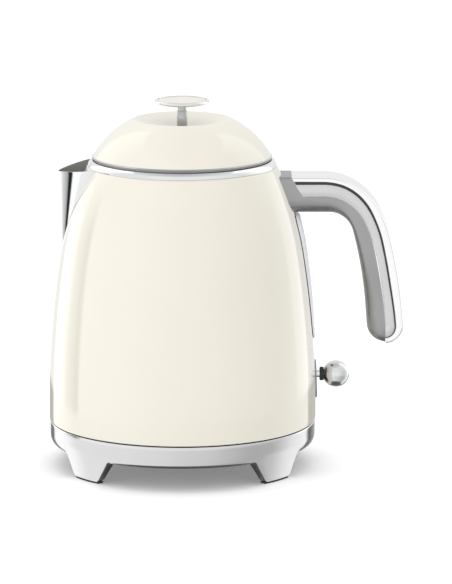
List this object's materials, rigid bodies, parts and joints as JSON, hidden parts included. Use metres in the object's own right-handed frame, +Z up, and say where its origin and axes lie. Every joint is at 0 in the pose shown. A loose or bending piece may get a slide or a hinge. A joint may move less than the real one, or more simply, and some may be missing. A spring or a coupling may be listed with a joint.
{
  "type": "electric kettle",
  "caption": "Small retro electric kettle: painted rounded jug with polished spout, bow handle, lift-off domed lid, ball-ended lever switch and a footed power base.",
  "frame": {"origin": "centre of the bounding box, on the surface the kettle stands on", "axes": "+Z up, +X toward the handle, -X toward the spout, -Y toward the front viewer"},
  "size_m": [0.2034, 0.1534, 0.2121],
  "materials": {
    "cream_paint": "gloss enamel",
    "cream_inlay": "gloss",
    "polished_steel": "mirror polished",
    "satin_metal": "satin",
    "rim_metal": "satin",
    "grip_plastic": "satin",
    "insert_plastic": "satin silver",
    "black_rubber": "matte",
    "grey_silicone": "matte",
    "dark_plastic": "matte",
    "light_plastic": "matte",
    "clear_gauge": "clear moulded",
    "plain_steel": "plain",
    "aluminium_plate": "plain",
    "element_steel": "heat toned",
    "zinc_screws": "zinc plated",
    "contact_brass": "plain",
    "bimetal": "copper toned"
  },
  "bodies": {
    "base": {"foot_pads": "black_rubber", "base_ring": "satin_metal", "base_pan": "dark_plastic", "base_deck": "dark_plastic", "base_connector": "dark_plastic", "base_contacts": "contact_brass", "cord_gland": "black_rubber", "cord_clamp": "dark_plastic", "clamp_screws": "zinc_screws", "base_screws": "zinc_screws"},
    "connector": {"jug_connector": "dark_plastic", "jug_contacts": "contact_brass"},
    "jug": {"jug_shell": "cream_paint", "collar_ring": "polished_steel", "spout": "polished_steel", "water_gauge": "clear_gauge", "gauge_gasket": "black_rubber", "floor_plate": "plain_steel", "diffuser_plate": "aluminium_plate", "heating_element": "element_steel", "element_terminals": "element_steel", "steam_tube": "plain_steel", "control_body": "dark_plastic", "bimetal_discs": "bimetal", "control_screws": "zinc_screws", "rocker_pin": "plain_steel", "lever_bracket": "dark_plastic", "lever_pivot": "plain_steel", "lever_plate": "polished_steel", "underplate": "dark_plastic", "underplate_screws": "zinc_screws", "handle_tongue": "plain_steel", "handle_grip": "grip_plastic", "handle_insert": "insert_plastic", "handle_bow": "polished_steel", "handle_screws": "zinc_screws"},
    "lever": {"lever_arm": "dark_plastic", "lever_stem": "polished_steel", "lever_collar": "black_rubber", "lever_ball": "polished_steel"},
    "rocker": {"rocker": "light_plastic"},
    "lid": {"lid_dome": "cream_paint", "lid_rim": "rim_metal", "lid_liner": "light_plastic", "lid_seal": "grey_silicone", "knob_stem": "polished_steel", "knob_disc": "polished_steel", "knob_inlay": "cream_inlay", "knob_nut": "zinc_screws"},
    "filter": {"spout_filter": "plain_steel"}
  },
  "joints": [
    {"name": "jug_lift", "type": "slide", "parent": "base", "child": "connector", "axis": [0, 0, 1], "range_m": [0, 0.12]},
    {"name": "jug_swivel", "type": "hinge", "parent": "connector", "child": "jug", "pos_m": [-0.02503, 0, 0.0271], "axis": [0, 0, 1], "continuous": true},
    {"name": "lid_lift", "type": "slide", "parent": "jug", "child": "lid", "axis": [0, 0, 1], "range_m": [0, 0.06]},
    {"name": "filter_lift", "type": "slide", "parent": "jug", "child": "filter", "axis": [0.3371, 0, 0.9415], "range_m": [0, 0.04]},
    {"name": "lever_tilt", "type": "hinge", "parent": "jug", "child": "lever", "pos_m": [0.03426, 0, 0.0525], "axis": [0, 1, 0], "range_deg": [0, 11]},
    {"name": "rocker_tilt", "type": "hinge", "parent": "jug", "child": "rocker", "pos_m": [0.01626, 0, 0.0525], "axis": [0, 1, 0], "range_deg": [-9, 0]}
  ],
  "couplings": [
    {"joint": "rocker_tilt", "follows": "lever_tilt", "ratio": -0.8}
  ]
}
